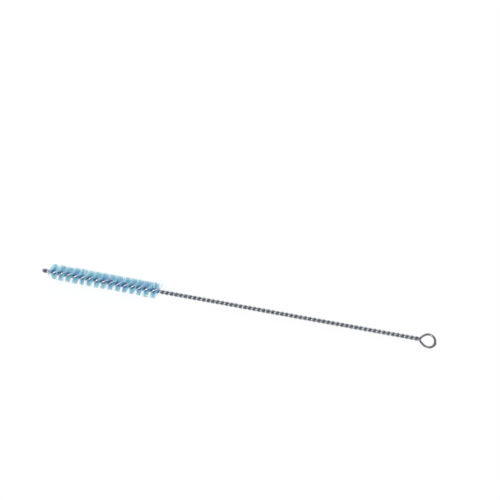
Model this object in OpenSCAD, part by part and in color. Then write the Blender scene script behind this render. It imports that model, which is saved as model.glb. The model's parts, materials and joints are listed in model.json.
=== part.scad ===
// Test tube brush. One steel wire is folded in half at the tip, its two legs are twisted
// left-handed round a layer of nylon bristles, and its two ends close into a hanging ring.
// It lies as it comes to rest: the ring's far side and the head's last bristles touch the
// ground at z = 0. X runs from the folded tip to the ring, Y across the flat ring, Z up.
// Each shape is first made in the stem's own frame, where the stem's axis is the X axis
// and u is the distance from the tip along it, and is then laid down as a whole.

/* [Overall] */
// Length from the folded tip to the farthest point of the ring
overall_len = 261; // [200:1:280]

/* [Wire] */
// Diameter of the steel wire
wire_d = 1.5; // [1:0.1:1.6]
// Gap between the two legs where they are twisted on each other
leg_gap = 0.04; // [0.02:0.01:0.1]
// Length of one full turn of the twist along the handle
handle_pitch = 6.08; // [5.8:0.01:9]

/* [Head] */
// Bare wire between the folded tip and the first bristles
tip_len = 5; // [4:0.5:10]
// Length of the bristled stretch
head_len = 72.5; // [40:0.5:90]
// Diameter over the bristle tips
head_d = 10; // [8:0.5:16]
// Length of one full turn of the twist along the head
head_pitch = 9.46; // [8:0.02:12]
// Gap between the two legs where the bristles pass through
bristle_gap = 0.3; // [0.25:0.05:0.5]
// Thickness of the layer of bristles where the legs grip it
layer_t = 0.1; // [0.06:0.02:0.12]
// Width of each bundle of bristles at its tips
bundle_w = 1.5; // [0.8:0.1:2]
// Turn of the twist from one bundle to the next, in degrees
bundle_turn = 22.5; // [12:0.5:24]
// Share of that turn that the bundle fills
bundle_fill = 0.68; // [0.5:0.02:0.8]
// Diameter that the gaps between the bundles reach down to
gap_root_d = 4; // [3.6:0.2:6]
// Difference in length between the longest and the shortest bristles
uneven = 0.3; // [0:0.05:0.6]

/* [Ring] */
// Clear width inside the ring
ring_inner_d = 7.4; // [6.4:0.1:9]
// Angle between the handle and each leg as it opens into the ring, in degrees
leg_angle = 44; // [38:1:50]
// Radius of the bend where the legs open, to the wire's middle
open_r = 1.5; // [1:0.1:2]
// How far the ring's plane lies below the stem's axis
ring_drop = 0.8; // [0.6:0.1:1.2]
// Direction from the ring's centre to the lower wire's end, in degrees from the handle's line
lower_end = 75; // [60:1:90]
// Turn of the ring over which the upper wire's end lies on the lower one, in degrees
lap_turn = 64; // [20:1:70]
// How far the upper wire's end stands out past the lower one
lap_out = 0.4; // [0:0.1:1]

/* [Hidden] */

// The wire's section has a flat towards the stem's axis, so the legs keep their gap, and
// a corner above and below where it lies in the ring
wire_sides = 6;
wire_r = wire_d / 2;
// Sections of the wire in each turn of the twist, in the fold's quarter, in the bend
// where the legs open, in the straight leg after it, and in degrees round the ring
turn_sections = 8;
fold_sections = 3;
open_sections = 4;
leg_sections = 3;
ring_section_turn = 14;

// Distance from the stem's axis to the middle of each leg, bare and round the bristles.
// Between two sections the wire runs straight and comes nearer to the axis by this share,
// so the sections stand out by as much, which keeps both gaps all along.
chord_share = cos(180 / turn_sections);
handle_r = (wire_r + leg_gap / 2) / chord_share;
head_r = (wire_r + bristle_gap / 2) / chord_share;
// The legs spread and their twist slackens just outside the two ends of the head
spread_len = 1;
spread_away = 0.3 + spread_len / 2;
spread_from = tip_len - spread_away;
spread_to = tip_len + head_len + spread_away;
// The fold is a half circle, and its middle is where the legs begin
fold_u = wire_r + handle_r;

// The ring, and the straight legs that meet it as tangents
ring_r = ring_inner_d / 2 + wire_r;
upper_end = lower_end - lap_turn;
ring_reach = max(ring_r + wire_r, (ring_r + lap_out + wire_r) * cos(upper_end));
ring_u = overall_len - ring_reach;
leg_end = [ring_u - ring_r * sin(leg_angle), ring_r * cos(leg_angle)];
open_rho = handle_r + open_r * (1 - cos(leg_angle));
leg_len = (leg_end[1] - open_rho) / sin(leg_angle);
leg_start = [leg_end[0] - leg_len * cos(leg_angle), open_rho];
open_u = leg_start[0] - open_r * sin(leg_angle);
// The twist dies out evenly from where the legs begin to open
fade_len = 3.3;
neck_u = open_u + fade_len / 2;
// The upper wire has climbed onto the lower one a little before the lower one's end. It
// also slides outward round the ring, so that it comes to lie half beside the lower one.
// Its directions are measured on its own side of the handle's line.
lap_reach = wire_d + leg_gap;
climb_to = lower_end + 8;

// Bundles of bristles along the head
bundle_step = head_pitch * bundle_turn / 360;
bundle_count = floor(head_len / bundle_step);
bristle_r = head_d / 2;
// A turn that never repeats, which spreads the bristles' lengths evenly
golden_turn = 137.5;

function unit(v) = v / norm(v);
function smooth(x) = let (c = min(1, max(0, x))) c * c * (3 - 2 * c);
function reversed(list) = [for (i = [len(list) - 1 : -1 : 0]) list[i]];
// n values from a towards b, without b itself
function evenly(a, b, n) = [for (i = [0 : n - 1]) a + (b - a) * i / n];
// A straight ramp from 0 to 1 of width w, centred on x = 0, and the area under it
function ramp(x, w) = min(1, max(0, x / w + 0.5));
function ramp_area(x, w) = x > w / 2 ? x : pow(max(0, x + w / 2), 2) / (2 * w);

// 1 along the head and 0 along the bare wire, and the length of head that lies before u
function spread(u) = ramp(u - spread_from, spread_len) - ramp(u - spread_to, spread_len);
function spread_before(u) =
    ramp_area(u - spread_from, spread_len) - ramp_area(u - spread_to, spread_len);
// Turn of the legs about the stem's axis, in degrees. It falls to 0 at the ring, where
// the legs lie side by side in the ring's plane, which makes the twist left-handed.
function twist(u) =
    360 / handle_pitch * ramp_area(neck_u - u, fade_len)
    + (360 / head_pitch - 360 / handle_pitch)
    * (spread_to - spread_from - spread_before(u));

// A wire's route as stations [u, distance from the axis, heading, lift], in the plane
// that turns with the twist. The heading is 0 along the stem and 90 away from it.
function fold_stations() = [
    for (a = evenly(90, 0, fold_sections))
        [fold_u - handle_r * sin(a), handle_r * cos(a), a, 0]
];
// The stem's stretches begin where the legs start and end their spreading
stem_parts = [
    [fold_u, handle_pitch],
    [spread_from - spread_len / 2, handle_pitch],
    [spread_from + spread_len / 2, head_pitch],
    [spread_to - spread_len / 2, handle_pitch],
    [spread_to + spread_len / 2, handle_pitch],
    [open_u, handle_pitch]
];
function stem_values(a, b, pitch) =
    evenly(a, b, ceil((b - a) / pitch * turn_sections));
function stem_stations() = [
    for (
        i = [0 : len(stem_parts) - 2],
        u = stem_values(stem_parts[i][0], stem_parts[i + 1][0], stem_parts[i][1])
    )
        [u, handle_r + (head_r - handle_r) * spread(u), 0, 0]
];
function open_stations() = [
    for (a = evenly(0, leg_angle, open_sections))
        [open_u + open_r * sin(a), handle_r + open_r * (1 - cos(a)), a, 0]
];
// Drop of both legs into the ring's plane as they open
function drop(u) = ring_drop * smooth((u - open_u) / (ring_u - open_u));
// Lift of the upper wire at a distance s past leg_start, where it has slid out by out
climb_len = leg_len + ring_r * (90 + leg_angle - climb_to) * PI / 180;
function lift(s, out) =
    sqrt(lap_reach * lap_reach - out * out) * smooth(s / climb_len);
// upper is 1 for the upper wire and 0 for the lower one
function leg_stations(upper) = [
    for (s = evenly(0, leg_len, leg_sections))
        [leg_start[0] + s * cos(leg_angle), leg_start[1] + s * sin(leg_angle),
         leg_angle, upper * lift(s, 0)]
];
// Round the ring from the leg's end to the direction last
function ring_stations(last, upper) = [
    let (first = 90 + leg_angle, n = ceil((first - last) / ring_section_turn))
    for (i = [0 : n])
        let (
            a = first + (last - first) * i / n,
            out = upper * lap_out * smooth(i / n),
            s = leg_len + ring_r * (first - a) * PI / 180
        )
        [ring_u + (ring_r + out) * cos(a), (ring_r + out) * sin(a), a - 90,
         upper * lift(s, out)]
];
function wire_leg(last, upper) = concat(
    stem_stations(), open_stations(), leg_stations(upper), ring_stations(last, upper));

// A station's place in space and its outward direction, for the leg on the given side
function place(s, side) = let (a = twist(s[0]) + side)
    [s[0], s[1] * cos(a), s[1] * sin(a) + s[3] - drop(s[0])];
function outward(s, side) = let (a = twist(s[0]) + side)
    [-sin(s[2]), cos(s[2]) * cos(a), cos(s[2]) * sin(a)];

// Triangles between rings of n points, with the given triangles on the end faces.
// The points of a ring run anticlockwise as seen from the later rings.
function skin_faces(rings, n, cap) = concat(
    cap,
    [for (i = [0 : rings - 2], k = [0 : n - 1], half = [0, 1])
        let (a = i * n + k, b = i * n + (k + 1) % n)
        half == 0 ? [a, a + n, b + n] : [a, b + n, b]],
    [for (f = cap) [for (p = reversed(f)) p + (rings - 1) * n]]);

// The round wire along a list of places, with a section at right angles to each
function wire_section(p, along, out) =
    let (t = unit(along), e1 = unit(out - (out * t) * t), e2 = cross(t, e1))
    [for (k = [0 : wire_sides - 1])
        let (a = (k + 0.5) * 360 / wire_sides)
        p + wire_r * (cos(a) * e1 + sin(a) * e2)];
function wire_points(p, out) = [
    for (i = [0 : len(p) - 1])
        each wire_section(
            p[i], p[min(i + 1, len(p) - 1)] - p[max(i - 1, 0)], out[i])
];

lower_leg = wire_leg(-lower_end, 0);
upper_leg = wire_leg(upper_end, 1);
fold = fold_stations();
fold_rest = [for (i = [1 : len(fold) - 1]) fold[i]];
first_half = reversed(concat(fold, lower_leg));
second_half = concat(fold_rest, upper_leg);
route = concat([for (s = first_half) place(s, 0)], [for (s = second_half) place(s, 180)]);
route_out =
    concat([for (s = first_half) outward(s, 0)], [for (s = second_half) outward(s, 180)]);
wire_rings = wire_points(route, route_out);

// A section across the head: two fans of bristles that meet in a thin layer on the axis
function fan_half(r) = layer_t / 2 + (bundle_w - layer_t) / 2 * r / bristle_r;
function fan_section(u, r1, r2) =
    let (
        a = twist(u) + 90,
        p = [u, 0, 0],
        w = [0, cos(a), sin(a)],
        t = [0, -sin(a), cos(a)]
    )
    [
        p + r1 * w - fan_half(r1) * t,
        p + r1 * w + fan_half(r1) * t,
        p + layer_t / 2 * t,
        p - r2 * w + fan_half(r2) * t,
        p - r2 * w - fan_half(r2) * t,
        p - layer_t / 2 * t
    ];
function tip_r(i) = bristle_r - uneven * (0.5 + 0.5 * sin(golden_turn * i));
function bundle_sections(j) =
    let (u = tip_len + j * bundle_step, r1 = tip_r(2 * j), r2 = tip_r(2 * j + 1))
    [fan_section(u, r1, r2), fan_section(u + bundle_fill * bundle_step, r1, r2)];
function gap_section(j) =
    fan_section(tip_len + (j + (1 + bundle_fill) / 2) * bundle_step,
        gap_root_d / 2, gap_root_d / 2);
fan_sections = [
    for (j = [0 : bundle_count - 1])
        each j < bundle_count - 1 ? concat(bundle_sections(j), [gap_section(j)])
                                  : bundle_sections(j)
];
fan_points = [for (s = fan_sections) each s];
fan_cap = [[0, 1, 2], [0, 2, 5], [2, 3, 4], [2, 4, 5]];

// The stem tilts until the head's lowest bristles and the ring's far side are level, and
// it is then as high as puts its lowest point on the ground
rest_u = ring_u + ring_r;
ring_under = ring_drop + wire_r;
tilt = max([for (p = fan_points) atan2(-p[2] - ring_under, rest_u - p[0])]);
rest_height =
    max([for (p = concat(wire_rings, fan_points)) p[0] * sin(tilt) - p[2] * cos(tilt)]);

module laid_down() {
    translate([-overall_len / 2 * cos(tilt), 0, rest_height])
        rotate([0, tilt, 0])
            children();
}

// The whole wire, from the ring's lower end to the tip and back to its upper end
module wire() {
    color("dimgray")
        laid_down()
            polyhedron(
                points = wire_rings,
                faces = skin_faces(len(route), wire_sides,
                    [for (k = [1 : wire_sides - 2]) [0, k, k + 1]]));
}

// The bristles, as a fringe of bundles that winds with the legs
module bristles() {
    color("lightblue")
        laid_down()
            polyhedron(
                points = fan_points,
                faces = skin_faces(len(fan_sections), len(fan_sections[0]), fan_cap));
}

wire();
bristles();
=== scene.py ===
# Test tube brush: the looks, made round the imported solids. The wire is a smooth round wire
# on the solid's own route, and the head is made of single nylon filaments.
import json
import math

import bpy
import numpy as np
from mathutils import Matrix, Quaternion, Vector


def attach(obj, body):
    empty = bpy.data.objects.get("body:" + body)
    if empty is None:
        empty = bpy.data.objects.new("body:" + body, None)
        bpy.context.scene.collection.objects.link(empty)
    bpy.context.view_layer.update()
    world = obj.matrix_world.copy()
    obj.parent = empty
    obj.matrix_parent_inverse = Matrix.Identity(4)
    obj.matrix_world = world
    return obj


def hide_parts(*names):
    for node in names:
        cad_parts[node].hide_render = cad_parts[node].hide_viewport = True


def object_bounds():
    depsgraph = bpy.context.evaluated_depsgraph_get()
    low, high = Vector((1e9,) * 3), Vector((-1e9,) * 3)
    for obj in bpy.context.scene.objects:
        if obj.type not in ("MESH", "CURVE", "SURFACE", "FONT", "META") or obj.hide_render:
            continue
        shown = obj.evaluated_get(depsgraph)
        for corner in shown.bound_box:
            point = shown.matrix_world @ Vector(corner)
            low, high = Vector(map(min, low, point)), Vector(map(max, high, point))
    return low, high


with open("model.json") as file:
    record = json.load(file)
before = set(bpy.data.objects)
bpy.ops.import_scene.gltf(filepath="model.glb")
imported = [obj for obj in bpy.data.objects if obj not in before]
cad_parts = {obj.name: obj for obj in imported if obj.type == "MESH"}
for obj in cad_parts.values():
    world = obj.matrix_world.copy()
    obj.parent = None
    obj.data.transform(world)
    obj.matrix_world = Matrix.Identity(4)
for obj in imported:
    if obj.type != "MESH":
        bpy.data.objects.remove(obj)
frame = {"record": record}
cad_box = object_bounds()

MM = 0.001

# ---------------------------------------------------------------- sizes, as in the solids
OVERALL_LEN = 261 * MM
WIRE_D = 1.5 * MM
LEG_GAP = 0.04 * MM
HANDLE_PITCH = 6.08 * MM
TIP_LEN = 5 * MM
HEAD_LEN = 72.5 * MM
HEAD_PITCH = 9.46 * MM
BRISTLE_GAP = 0.3 * MM
RING_INNER_D = 7.4 * MM
LEG_ANGLE = 44
OPEN_R = 1.5 * MM
RING_DROP = 0.8 * MM
LOWER_END = 75
LAP_TURN = 64
LAP_OUT = 0.4 * MM
SPREAD_LEN = 1 * MM
SPREAD_AWAY = 0.3 * MM + SPREAD_LEN / 2
FADE_LEN = 3.3 * MM
CLIMB_PAST = 8

WIRE_R = WIRE_D / 2
HANDLE_R = WIRE_R + LEG_GAP / 2
HEAD_R = WIRE_R + BRISTLE_GAP / 2
SPREAD_FROM = TIP_LEN - SPREAD_AWAY
SPREAD_TO = TIP_LEN + HEAD_LEN + SPREAD_AWAY
FOLD_U = WIRE_R + HANDLE_R
RING_R = RING_INNER_D / 2 + WIRE_R
UPPER_END = LOWER_END - LAP_TURN
RING_REACH = max(
    RING_R + WIRE_R, (RING_R + LAP_OUT + WIRE_R) * math.cos(math.radians(UPPER_END))
)
RING_U = OVERALL_LEN - RING_REACH
LAP_REACH = WIRE_D + LEG_GAP

LEG_TURN = math.radians(LEG_ANGLE)
LEG_END = (RING_U - RING_R * math.sin(LEG_TURN), RING_R * math.cos(LEG_TURN))
OPEN_RHO = HANDLE_R + OPEN_R * (1 - math.cos(LEG_TURN))
LEG_LEN = (LEG_END[1] - OPEN_RHO) / math.sin(LEG_TURN)
LEG_START = (LEG_END[0] - LEG_LEN * math.cos(LEG_TURN), OPEN_RHO)
OPEN_U = LEG_START[0] - OPEN_R * math.sin(LEG_TURN)
NECK_U = OPEN_U + FADE_LEN / 2
CLIMB_LEN = LEG_LEN + RING_R * math.radians(90 + LEG_ANGLE - LOWER_END - CLIMB_PAST)

# The stem's own frame: u along the stem from the tip, y across it, and z at right angles to
# the ring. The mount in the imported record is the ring's middle and the ring's axis.
ring_mount = next(m for m in frame["record"]["mounts"] if m["name"] == "hanging_ring")
UP = np.array(ring_mount["axis"], float)
UP /= np.linalg.norm(UP)
ALONG = np.array((UP[2], 0.0, -UP[0]))
ACROSS = np.array((0.0, 1.0, 0.0))
TIP = np.array(ring_mount["pos_m"], float) - RING_U * ALONG + RING_DROP * UP
# Straight up from the ground, in the stem's frame
SKYWARD = np.array((ALONG[2], 0.0, UP[2]))


def in_row(points):
    """Points of the stem's frame, one in each row, in the row frame."""
    p = np.asarray(points, float)
    return TIP + p[..., 0:1] * ALONG + p[..., 1:2] * ACROSS + p[..., 2:3] * UP


# ------------------------------------------------------------------ the twist, as in the solids
def smooth(x):
    c = np.clip(x, 0, 1)
    return c * c * (3 - 2 * c)


def ramp(x, w):
    return np.clip(x / w + 0.5, 0, 1)


def ramp_area(x, w):
    return np.where(x > w / 2, x, np.maximum(0, x + w / 2) ** 2 / (2 * w))


def spread(u):
    return ramp(u - SPREAD_FROM, SPREAD_LEN) - ramp(u - SPREAD_TO, SPREAD_LEN)


def spread_before(u):
    return ramp_area(u - SPREAD_FROM, SPREAD_LEN) - ramp_area(u - SPREAD_TO, SPREAD_LEN)


def twist(u):
    """Turn of the legs about the stem's axis at u, in radians."""
    handle_turn = 2 * math.pi / HANDLE_PITCH
    head_turn = 2 * math.pi / HEAD_PITCH
    return handle_turn * ramp_area(NECK_U - u, FADE_LEN) + (head_turn - handle_turn) * (
        SPREAD_TO - SPREAD_FROM - spread_before(u)
    )


def lift(s, out):
    """Lift of the upper wire at a distance s past the leg's start, where it has slid out by out."""
    return math.sqrt(LAP_REACH**2 - out**2) * float(smooth(s / CLIMB_LEN))


# How many places the wire's route has: in the fold, in a turn of the twist, where the legs
# bend apart and along a straight leg. On the ring they are as many degrees apart.
FOLD_PLACES = 12
TURN_PLACES = 26
OPEN_PLACES = 10
LEG_PLACES = 8
RING_STEP = 5


def leg_route(side, last, upper):
    """Places along one leg, from the middle of the fold to its end on the ring."""
    rows = []
    for a in np.radians(np.linspace(90, 0, FOLD_PLACES, endpoint=False)):
        rows.append((FOLD_U - HANDLE_R * math.sin(a), HANDLE_R * math.cos(a), 0.0))
    for start, end, pitch in (
        (FOLD_U, SPREAD_FROM, HANDLE_PITCH),
        (SPREAD_FROM, SPREAD_TO, HEAD_PITCH),
        (SPREAD_TO, OPEN_U, HANDLE_PITCH),
    ):
        n = math.ceil((end - start) / pitch * TURN_PLACES)
        for u in np.linspace(start, end, n, endpoint=False):
            rows.append((u, HANDLE_R + (HEAD_R - HANDLE_R) * float(spread(u)), 0.0))
    for a in np.linspace(0, LEG_TURN, OPEN_PLACES, endpoint=False):
        rows.append((OPEN_U + OPEN_R * math.sin(a), HANDLE_R + OPEN_R * (1 - math.cos(a)), 0.0))
    for s in np.linspace(0, LEG_LEN, LEG_PLACES, endpoint=False):
        u = LEG_START[0] + s * math.cos(LEG_TURN)
        away = LEG_START[1] + s * math.sin(LEG_TURN)
        rows.append((u, away, upper * lift(s, 0.0)))
    first = 90 + LEG_ANGLE
    for angle in np.linspace(first, last, math.ceil((first - last) / RING_STEP) + 1):
        s = LEG_LEN + RING_R * math.radians(first - angle)
        out = upper * LAP_OUT * float(smooth((first - angle) / (first - last)))
        r = RING_R + out
        a = math.radians(angle)
        rows.append((RING_U + r * math.cos(a), r * math.sin(a), upper * lift(s, out)))
    u, rho, up = np.array(rows).T
    a = twist(u) + side
    drop = RING_DROP * smooth((u - OPEN_U) / (RING_U - OPEN_U))
    return np.stack([u, rho * np.cos(a), rho * np.sin(a) + up - drop], axis=1)


# ------------------------------------------------------------------------------- mesh making
def new_mesh_object(name, verts, faces, smooth_faces, attributes):
    """A mesh object from arrays. attributes: name -> value at each vertex."""
    mesh = bpy.data.meshes.new(name)
    mesh.from_pydata([tuple(v) for v in verts], [], faces)
    mesh.polygons.foreach_set("use_smooth", smooth_faces)
    for key, values in attributes.items():
        values = np.asarray(values, np.float32)
        kind, field = ("FLOAT_VECTOR", "vector") if values.ndim == 2 else ("FLOAT", "value")
        attribute = mesh.attributes.new(key, kind, "POINT")
        attribute.data.foreach_set(field, values.ravel())
    mesh.validate()
    mesh.update()
    obj = bpy.data.objects.new(name, mesh)
    bpy.context.scene.collection.objects.link(obj)
    return obj


def tube_faces(rings, sides, first=0):
    """Faces of a closed tube of so many rings of vertices, from vertex first on, caps last."""
    faces = []
    for i in range(rings - 1):
        for k in range(sides):
            a = first + i * sides + k
            b = first + i * sides + (k + 1) % sides
            faces.append((a, b, b + sides, a + sides))
    faces.append(tuple(first + k for k in reversed(range(sides))))
    faces.append(tuple(first + (rings - 1) * sides + k for k in range(sides)))
    return faces


def carried_frames(p):
    """A route's direction at each place, and two across it that turn as little as they can."""
    t = np.gradient(p, axis=0)
    t /= np.linalg.norm(t, axis=1, keepdims=True)
    e = np.cross(t[0], (0.0, 0.0, 1.0))
    e /= np.linalg.norm(e)
    e1 = [e]
    for i in range(1, len(p)):
        e = e - np.dot(e, t[i]) * t[i]
        e /= np.linalg.norm(e)
        e1.append(e)
    e1 = np.array(e1)
    return t, e1, np.cross(t, e1)


# ------------------------------------------------------------------------------------- wire
WIRE_SIDES = 14
END_CHAMFER = 0.08 * MM
# The groove between the legs reaches this far from the stem's axis and fades from there. There the
# steel's colour carries painted shade, and in the head a painted blue reflection.
GROOVE_R = 0.55 * MM
GROOVE_FADE = 0.5 * MM
PAIR_FADE = 2 * MM
# The wire's colour is darker from before the ring on, and at the fold, where the darkening is painted
# shade for the dark surroundings the fold reflects
DARK_BEFORE_RING = 3 * MM
RING_DARK_FADE = 4 * MM
FOLD_DARK_LEN = 1.2 * MM
FOLD_DARK_FADE = 1.6 * MM


def wire_sections():
    """The wire's sections: middle, radius, length so far and two directions across."""
    lower = leg_route(0.0, -LOWER_END, 0)
    upper = leg_route(math.pi, UPPER_END, 1)
    route = np.concatenate([lower[::-1], upper[1:]])
    t, e1, e2 = carried_frames(route)
    step = np.linalg.norm(np.diff(route, axis=0), axis=1)
    length = np.concatenate([[0], np.cumsum(step)])
    full = route.copy()
    full[0] += END_CHAMFER * t[0]
    full[-1] -= END_CHAMFER * t[-1]
    middles = np.concatenate([route[:1], full, route[-1:]])
    radii = np.full(len(middles), WIRE_R)
    radii[[0, -1]] = WIRE_R - END_CHAMFER
    source = np.r_[0, np.arange(len(route)), len(route) - 1]
    return middles, radii, length[source], e1[source], e2[source]


def wire_attributes(points, turn, length):
    """What the steel's colour goes by, at each point of the wire in the stem's frame."""
    u = points[:, 0]
    from_axis = np.hypot(points[:, 1], points[:, 2])
    paired = 1 - smooth((u - OPEN_U) / PAIR_FADE)
    at_ring = smooth((u - OPEN_U + DARK_BEFORE_RING) / RING_DARK_FADE)
    at_fold = 1 - smooth((u - FOLD_DARK_LEN) / FOLD_DARK_FADE)
    across = np.tile(np.stack([np.cos(turn) * WIRE_R, np.sin(turn) * WIRE_R], axis=1), (len(length), 1))
    grain = np.column_stack([across, np.repeat(length, len(turn))])
    return {
        "grain": grain / MM,
        "groove": paired * (1 - smooth((from_axis - GROOVE_R) / GROOVE_FADE)),
        "ring_fold_darkening": np.maximum(at_ring, at_fold),
        "in_head": spread(u),
    }


def round_wire():
    middles, radii, length, e1, e2 = wire_sections()
    turn = 2 * math.pi * np.arange(WIRE_SIDES) / WIRE_SIDES
    rim = np.cos(turn)[:, None] * e1[:, None] + np.sin(turn)[:, None] * e2[:, None]
    points = (middles[:, None] + radii[:, None, None] * rim).reshape(-1, 3)
    rings = len(middles)
    bands = np.ones(rings - 1, bool)
    bands[[0, -1]] = False
    smooth_faces = np.r_[np.repeat(bands, WIRE_SIDES), [False, False]]
    return new_mesh_object(
        "wire_round",
        in_row(points),
        tube_faces(rings, WIRE_SIDES),
        smooth_faces,
        wire_attributes(points, turn, length),
    )


wire = round_wire()
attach(wire, "root")
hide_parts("wire")

# -------------------------------------------------------------------------------- filaments
FILAMENTS = 2300
FILAMENT_R = 0.07 * MM
FILAMENT_SIDES = 4
# Where a filament's places lie on each half, as shares of the half's reach
HALF_STEPS = np.array([0.16, 0.42, 0.7, 1.0])
# The wire holds a filament up to the first share, and past the two added up it is free
ROOT_HELD = 0.06
ROOT_FREES = 0.3

# Directions round the stem's axis
UNDERSIDE = math.radians(-64)
BACK = math.radians(20)
FRONT = math.radians(110)

# The brush has been used: the bristles under it are pressed over to its far side, from a
# short way along the head on. Their bend grows towards the tips.
PRESSED_WIDTH = math.radians(52)
PRESSED_FROM = 0.08
PRESSED_FULL = 0.11
PRESSED_DEGREES = 50
PRESSED_VARIES = 10
BEND_POWER = 1.4

# How far filaments stray round the stem, in degrees, and along it
FAN_DEGREES = 7
FRONT_FAN_DEGREES = 16
FRONT_FAN_WIDTH = math.radians(60)
LEAN = 1 * MM
LEAN_WIDTH = math.radians(80)
MORE_LEAN = 0.35
LESS_LEAN = 0.6
BOW = 0.15 * MM

# A few loose bristles at the end of the head lean out over the handle
LOOSE = 6
LOOSE_LEAN = 2 * MM

# How far the tips reach from the axis on the far side, and on the near side along the head
FAR_REACH = 5.7 * MM
NEAR_PLACES = [0, 0.06, 0.12, 1]
NEAR_REACHES = [4.2, 4.6, 4.9, 5.05]
REACH_VARIES = 0.16 * MM

rng = np.random.default_rng(11)


def wavy(u, spacing, size):
    """A random value that changes smoothly along the head."""
    n = int(HEAD_LEN / spacing) + 4
    knots = rng.normal(0, size, n)
    return np.interp(u, TIP_LEN + (np.arange(n) - 1.5) * spacing, knots)


def nearness(a, direction, width):
    """1 where a is the given direction round the stem, and 0 from width away."""
    apart = np.abs((a - direction + math.pi) % (2 * math.pi) - math.pi)
    return np.cos(np.clip(apart / width, 0, 1) * math.pi / 2) ** 2


def filament_half(at_u, layer, side):
    """Places along one half of each filament, from the wire to the tip, and its tone."""
    along_head = (at_u - TIP_LEN) / HEAD_LEN
    base = twist(at_u) + math.pi / 2 + side
    begun = np.interp(along_head, [PRESSED_FROM, PRESSED_FULL], [0, 1])
    pressed = nearness(base, UNDERSIDE, PRESSED_WIDTH) * begun
    comb = pressed * np.radians(rng.normal(PRESSED_DEGREES, PRESSED_VARIES, FILAMENTS))
    fan = np.radians(FAN_DEGREES + FRONT_FAN_DEGREES * nearness(base, FRONT, FRONT_FAN_WIDTH))
    own_turn = rng.normal(0, 1, FILAMENTS) * fan + wavy(at_u, 0.5 * MM, math.radians(5))
    lean = rng.uniform(-1, 1, FILAMENTS) * LEAN + wavy(at_u, 0.6 * MM, 0.2 * MM)
    lean *= 1 + MORE_LEAN * nearness(base, BACK + math.pi, LEAN_WIDTH)
    lean *= 1 - LESS_LEAN * nearness(base, FRONT, LEAN_WIDTH)
    loose = np.cos(base[-LOOSE:] - BACK) > 0
    lean[-LOOSE:] += LOOSE_LEAN * loose
    own_turn[-LOOSE:] += loose * np.sin(BACK - base[-LOOSE:])
    bow = rng.normal(0, BOW, FILAMENTS)
    near = np.interp(along_head, NEAR_PLACES, NEAR_REACHES) * MM
    reach = (FAR_REACH + near) / 2 + (FAR_REACH - near) / 2 * np.cos(base + comb - BACK)
    reach = reach + wavy(at_u, 0.7 * MM, 0.12 * MM) - np.abs(rng.normal(0, REACH_VARIES, FILAMENTS))
    tone = 0.5 + wavy(at_u, 1.3 * MM, 0.2) + rng.normal(0, 0.1, FILAMENTS)
    places = []
    for k in HALF_STEPS:
        free = float(smooth((k - ROOT_HELD) / ROOT_FREES))
        a = base + own_turn * free + comb * k**BEND_POWER
        r = reach * k
        apart = layer * (1 - free)
        u = at_u + lean * k * free + bow * math.sin(math.pi * k) * free
        y = r * np.cos(a) - apart * np.sin(base)
        z = r * np.sin(a) + apart * np.cos(base)
        places.append(np.stack([u, y, z], axis=1))
    return places, tone


def filament_lines():
    """Places along each filament from tip to tip, and the tones of its two halves."""
    at_u = TIP_LEN + HEAD_LEN * (np.arange(FILAMENTS) + rng.random(FILAMENTS)) / FILAMENTS
    layer = np.where(np.arange(FILAMENTS) % 2 == 0, 1, -1) * FILAMENT_R
    first, first_tone = filament_half(at_u, layer, 0.0)
    second, second_tone = filament_half(at_u, layer, math.pi)
    across = twist(at_u) + math.pi / 2
    core = np.stack([at_u, -layer * np.sin(across), layer * np.cos(across)], axis=1)
    lines = np.stack(first[::-1] + [core] + second, axis=1)
    # No filament goes into the ground
    sunk = np.maximum(FILAMENT_R + cad_box[0].z - in_row(lines)[..., 2], 0)
    return lines + sunk[..., None] * SKYWARD, first_tone, second_tone


def nylon_filaments():
    lines, first_tone, second_tone = filament_lines()
    rings = lines.shape[1]
    t = np.gradient(lines, axis=1)
    t /= np.linalg.norm(t, axis=2, keepdims=True)
    e1 = np.cross(t, (1.0, 0.0, 0.0))
    e1 /= np.linalg.norm(e1, axis=2, keepdims=True)
    e2 = np.cross(t, e1)
    thick = FILAMENT_R * rng.uniform(0.9, 1.1, FILAMENTS)[:, None, None]
    turn = 2 * math.pi * (np.arange(FILAMENT_SIDES) + 0.5) / FILAMENT_SIDES
    verts = np.stack([lines + thick * (math.cos(a) * e1 + math.sin(a) * e2) for a in turn], axis=2)
    faces = []
    for i in range(FILAMENTS):
        faces += tube_faces(rings, FILAMENT_SIDES, i * rings * FILAMENT_SIDES)
    side_faces = np.ones((rings - 1) * FILAMENT_SIDES, bool)
    smooth_faces = np.tile(np.r_[side_faces, [False, False]], FILAMENTS)
    half = len(HALF_STEPS)
    middle_tone = (first_tone + second_tone) / 2
    tone = np.stack([first_tone] * half + [middle_tone] + [second_tone] * half, axis=1)
    steps = np.concatenate([HALF_STEPS[::-1], [0], HALF_STEPS])
    attributes = {
        "tone": np.repeat(np.clip(tone, 0, 1), FILAMENT_SIDES),
        "reach": np.tile(np.repeat(steps, FILAMENT_SIDES), FILAMENTS),
    }
    return new_mesh_object(
        "nylon_filaments", in_row(verts.reshape(-1, 3)), faces, smooth_faces, attributes
    )


bristles = nylon_filaments()
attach(bristles, "root")
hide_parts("bristles")


# -------------------------------------------------------------------------------- materials
def channel(c):
    return c / 12.92 if c <= 0.04045 else ((c + 0.055) / 1.055) ** 2.4


def linear(r, g, b):
    """A colour as it looks on screen, as the numbers that the shaders take."""
    return (channel(r), channel(g), channel(b), 1.0)


def grey(level):
    return (level, level, level, 1)


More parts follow.
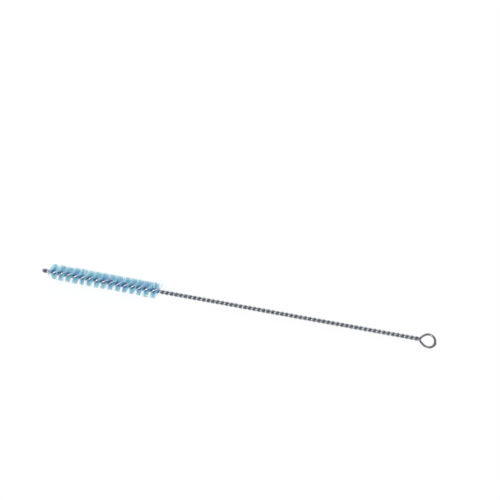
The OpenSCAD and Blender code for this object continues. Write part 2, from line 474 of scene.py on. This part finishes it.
class Nodes:
    """The node tree of a material or world, with short ways to add and join nodes."""

    def __init__(self, owner, output_kind="ShaderNodeOutputMaterial"):
        owner.use_nodes = True
        self.owner = owner
        self.tree = owner.node_tree
        self.tree.nodes.clear()
        self.output = self.add(output_kind)

    def add(self, kind, **settings):
        node = self.tree.nodes.new(kind)
        for key, value in settings.items():
            setattr(node, key, value)
        return node

    def join(self, source, target):
        self.tree.links.new(source, target)

    def surface(self, shader):
        self.join(shader.outputs[0], self.output.inputs["Surface"])

    def attribute(self, name, output="Fac"):
        return self.add("ShaderNodeAttribute", attribute_name=name).outputs[output]

    def put(self, value, socket):
        if isinstance(value, bpy.types.NodeSocket):
            self.join(value, socket)
        else:
            socket.default_value = value

    def math(self, operation, a, b):
        node = self.add("ShaderNodeMath", operation=operation)
        self.put(a, node.inputs[0])
        self.put(b, node.inputs[1])
        return node.outputs[0]

    def ramp(self, value, stops):
        node = self.add("ShaderNodeValToRGB")
        elements = node.color_ramp.elements
        while len(elements) < len(stops):
            elements.new(0.5)
        for element, (place, colour) in zip(elements, stops):
            element.position = place
            element.color = colour
        self.join(value, node.inputs[0])
        return node.outputs[0]

    def mix(self, share, a, b):
        node = self.add("ShaderNodeMix", data_type="RGBA")
        self.put(share, node.inputs[0])
        self.put(a, node.inputs[6])
        self.put(b, node.inputs[7])
        return node.outputs[2]

    def span(self, value, low, high, to_low, to_high, **settings):
        node = self.add("ShaderNodeMapRange", **settings)
        for k, v in enumerate((value, low, high, to_low, to_high)):
            self.put(v, node.inputs[k])
        return node.outputs[0]

    def noise(self, vector, scale, detail, roughness):
        node = self.add("ShaderNodeTexNoise")
        node.inputs["Scale"].default_value = scale
        node.inputs["Detail"].default_value = detail
        node.inputs["Roughness"].default_value = roughness
        self.join(vector, node.inputs["Vector"])
        return node.outputs["Fac"]

    def scaled(self, vector, scale):
        node = self.add("ShaderNodeVectorMath", operation="MULTIPLY")
        self.join(vector, node.inputs[0])
        node.inputs[1].default_value = scale
        return node.outputs[0]


def steel_material():
    """Drawn steel, patchy and finely streaked. It is darker at the ring, with painted shade in the
    groove and at the fold. In the head it is painted lighter for its highlights, with a painted blue
    reflection of the bristles in the groove.
    """
    n = Nodes(bpy.data.materials.new("drawn_steel"))
    shader = n.add("ShaderNodeBsdfPrincipled")
    shader.inputs["Metallic"].default_value = 1.0
    grain_at = n.attribute("grain", "Vector")
    lines = n.noise(n.scaled(grain_at, (1.0, 1.0, 0.03)), 14.0, 4.0, 0.6)
    patches = n.noise(n.scaled(grain_at, (1.0, 1.0, 0.5)), 0.6, 3.0, 0.6)
    groove_at = n.attribute("groove")
    steel = n.ramp(
        patches,
        [
            (0.3, linear(0.61, 0.625, 0.655)),
            (0.55, linear(0.67, 0.68, 0.705)),
            (0.75, linear(0.71, 0.715, 0.735)),
        ],
    )
    streaked = n.mix(n.span(lines, 0.35, 0.7, 0.0, 0.2), steel, linear(0.58, 0.59, 0.62))
    # Painted shade: the steel is darker in the groove between the two wires
    groove_shaded = n.mix(n.math("MULTIPLY", groove_at, 0.1), streaked, linear(0.35, 0.36, 0.38))
    # Darker steel from before the ring on and at the fold; at the fold it is painted shade
    ring_fold_darkened = n.mix(n.math("MULTIPLY", n.attribute("ring_fold_darkening"), 0.85), groove_shaded, linear(0.49, 0.495, 0.515))
    in_head = n.attribute("in_head")
    # Painted highlight: the steel is painted lighter in the head, so that its highlights among the
    # bristles come out brighter
    head_lightened = n.mix(n.math("MULTIPLY", in_head, 0.55), ring_fold_darkened, linear(0.86, 0.88, 0.91))
    # Painted reflection and shade: the steel in the head's groove takes the bristles' deep blue, for
    # the nylon it reflects and the shade among it
    blue = n.math("MULTIPLY", in_head, n.math("MULTIPLY", groove_at, 0.75))
    tinted = n.mix(blue, head_lightened, linear(0.48, 0.67, 0.88))
    n.join(tinted, shader.inputs["Base Color"])
    rough = n.math("ADD", n.span(lines, 0.3, 0.7, 0.2, 0.3), n.math("MULTIPLY", groove_at, 0.2))
    n.join(rough, shader.inputs["Roughness"])
    bump = n.add("ShaderNodeBump")
    bump.inputs["Strength"].default_value = 0.06
    bump.inputs["Distance"].default_value = 0.03 * MM
    n.join(lines, bump.inputs["Height"])
    n.join(bump.outputs[0], shader.inputs["Normal"])
    n.surface(shader)
    return n.owner


def nylon_material():
    """Pale blue nylon that lets light through, painted a deeper blue near the wire as painted shade
    among the filaments.
    """
    n = Nodes(bpy.data.materials.new("blue_nylon"))
    shader = n.add("ShaderNodeBsdfPrincipled")
    shader.inputs["Roughness"].default_value = 0.38
    shader.inputs["IOR"].default_value = 1.53
    own = n.ramp(
        n.attribute("tone"),
        [
            (0.0, linear(0.90, 0.975, 0.985)),
            (0.35, linear(0.87, 0.977, 0.999)),
            (0.65, linear(0.87, 0.965, 1.0)),
            (1.0, linear(0.88, 0.94, 1.0)),
        ],
    )
    out = n.attribute("reach")
    tips = n.mix(n.span(out, 0.6, 1.0, 0.0, 0.35), own, linear(0.89, 0.977, 0.997))
    # Painted shade: the filaments are a deeper blue near the wire, where shade falls among them
    colour = n.mix(n.span(out, 0.1, 0.4, 0.6, 0.0), tips, linear(0.56, 0.78, 0.985))
    n.join(colour, shader.inputs["Base Color"])
    through = n.add("ShaderNodeBsdfTranslucent")
    n.join(colour, through.inputs["Color"])
    both = n.add("ShaderNodeMixShader")
    both.inputs[0].default_value = 0.85
    n.join(shader.outputs[0], both.inputs[1])
    n.join(through.outputs[0], both.inputs[2])
    n.surface(both)
    return n.owner


wire.data.materials.append(steel_material())
bristles.data.materials.append(nylon_material())

# ------------------------------------------------------------------------- floor and world
FLOOR_SIZE = 12
FLOOR_GREY = 0.8
# The floor as it is seen: mostly its own white, and a share that keeps the brush's shadow
FLOOR_GLOW = 0.84
FLOOR_SHADED = 0.2
WORLD_GREY = 0.8
WORLD_LIGHT = 0.52
# Steel sees the world darker overhead than near the ground
CEILING_LEVEL = 0.6
CEILING_FROM = 0.05
CEILING_FULL = 0.3


def seen_directly(n, path):
    """1 for rays by which the camera, metal or a filament sees a surface."""
    first = n.math("MAXIMUM", path.outputs["Is Camera Ray"], path.outputs["Is Glossy Ray"])
    return n.math("MAXIMUM", first, path.outputs["Is Transmission Ray"])


def floor_material():
    n = Nodes(bpy.data.materials.new("floor_white"))
    lit = n.add("ShaderNodeBsdfDiffuse")
    lit.inputs["Color"].default_value = grey(FLOOR_GREY)
    shaded = n.add("ShaderNodeBsdfDiffuse")
    shaded.inputs["Color"].default_value = grey(FLOOR_SHADED)
    glow = n.add("ShaderNodeEmission")
    glow.inputs["Strength"].default_value = FLOOR_GLOW
    seen = n.add("ShaderNodeAddShader")
    n.join(shaded.outputs[0], seen.inputs[0])
    n.join(glow.outputs[0], seen.inputs[1])
    choose = n.add("ShaderNodeMixShader")
    n.join(seen_directly(n, n.add("ShaderNodeLightPath")), choose.inputs[0])
    n.join(lit.outputs[0], choose.inputs[1])
    n.join(seen.outputs[0], choose.inputs[2])
    n.surface(choose)
    return n.owner


def studio_world():
    n = Nodes(bpy.data.worlds.new("studio"), "ShaderNodeOutputWorld")
    background = n.add("ShaderNodeBackground")
    background.inputs["Color"].default_value = grey(WORLD_GREY)
    path = n.add("ShaderNodeLightPath")
    level = n.span(seen_directly(n, path), 0.0, 1.0, WORLD_LIGHT, 1.0)
    parts = n.add("ShaderNodeSeparateXYZ")
    n.join(n.add("ShaderNodeTexCoord").outputs["Generated"], parts.inputs[0])
    ceiling = n.span(
        parts.outputs["Z"], CEILING_FROM, CEILING_FULL, 1.0, CEILING_LEVEL,
        interpolation_type="SMOOTHSTEP",
    )
    shade = n.span(path.outputs["Is Glossy Ray"], 0.0, 1.0, 1.0, ceiling)
    # The camera alone sees the world as white, and its light on the brush stays as it is
    whiter = n.span(path.outputs["Is Camera Ray"], 0.0, 1.0, 1.0, 1 / WORLD_GREY)
    strength = n.math("MULTIPLY", n.math("MULTIPLY", level, shade), whiter)
    n.join(strength, background.inputs["Strength"])
    n.surface(background)
    return n.owner


bpy.ops.mesh.primitive_grid_add(
    size=FLOOR_SIZE, x_subdivisions=2, y_subdivisions=2, location=(0, 0, cad_box[0].z)
)
floor = bpy.context.object
floor.name = "floor"
floor.data.materials.append(floor_material())
bpy.context.scene.world = studio_world()


# ---------------------------------------------------------------------------- lamps, camera
def toward(azimuth, elevation):
    """The direction from the brush to a camera or lamp."""
    a, e = math.radians(azimuth), math.radians(elevation)
    return Vector((math.sin(a) * math.cos(e), -math.cos(a) * math.cos(e), math.sin(e)))


def softbox(name, azimuth, elevation, distance, size, roll, level):
    """A lamp that alone lights a surface facing it to the given level, where 1 is white."""
    lamp = bpy.data.lights.new(name, "AREA")
    lamp.shape = "RECTANGLE"
    lamp.size, lamp.size_y = size
    lamp.energy = level * (math.pi * distance) ** 2
    obj = bpy.data.objects.new(name, lamp)
    bpy.context.scene.collection.objects.link(obj)
    way = toward(azimuth, elevation)
    obj.location = way * distance
    obj.rotation_mode = "QUATERNION"
    obj.rotation_quaternion = way.to_track_quat("Z", "Y") @ Quaternion((0, 0, 1), math.radians(roll))


# A long softbox high in front, which gives the wire its highlights
softbox("key", -14.5, 66, 1.8, (1.0, 0.3), 50, 0.38)
# A wide weak lamp behind, which shines through the bristles
softbox("fill", 170, 35, 2.0, (1.6, 1.6), 0, 0.25)

AIM = Vector((0.00025, 0.04085, 0.0))
VIEW_AZIMUTH = 10.493
VIEW_ELEVATION = 70
VIEW_DISTANCE = 0.9
camera = bpy.data.cameras.new("camera")
camera.sensor_width = 36
camera.lens = 97.804
eye = bpy.data.objects.new("camera", camera)
bpy.context.scene.collection.objects.link(eye)
back = toward(VIEW_AZIMUTH, VIEW_ELEVATION)
eye.location = AIM + VIEW_DISTANCE * back
eye.rotation_mode = "QUATERNION"
eye.rotation_quaternion = back.to_track_quat("Z", "Y")
bpy.context.scene.camera = eye
bpy.context.scene.view_settings.view_transform = "Standard"
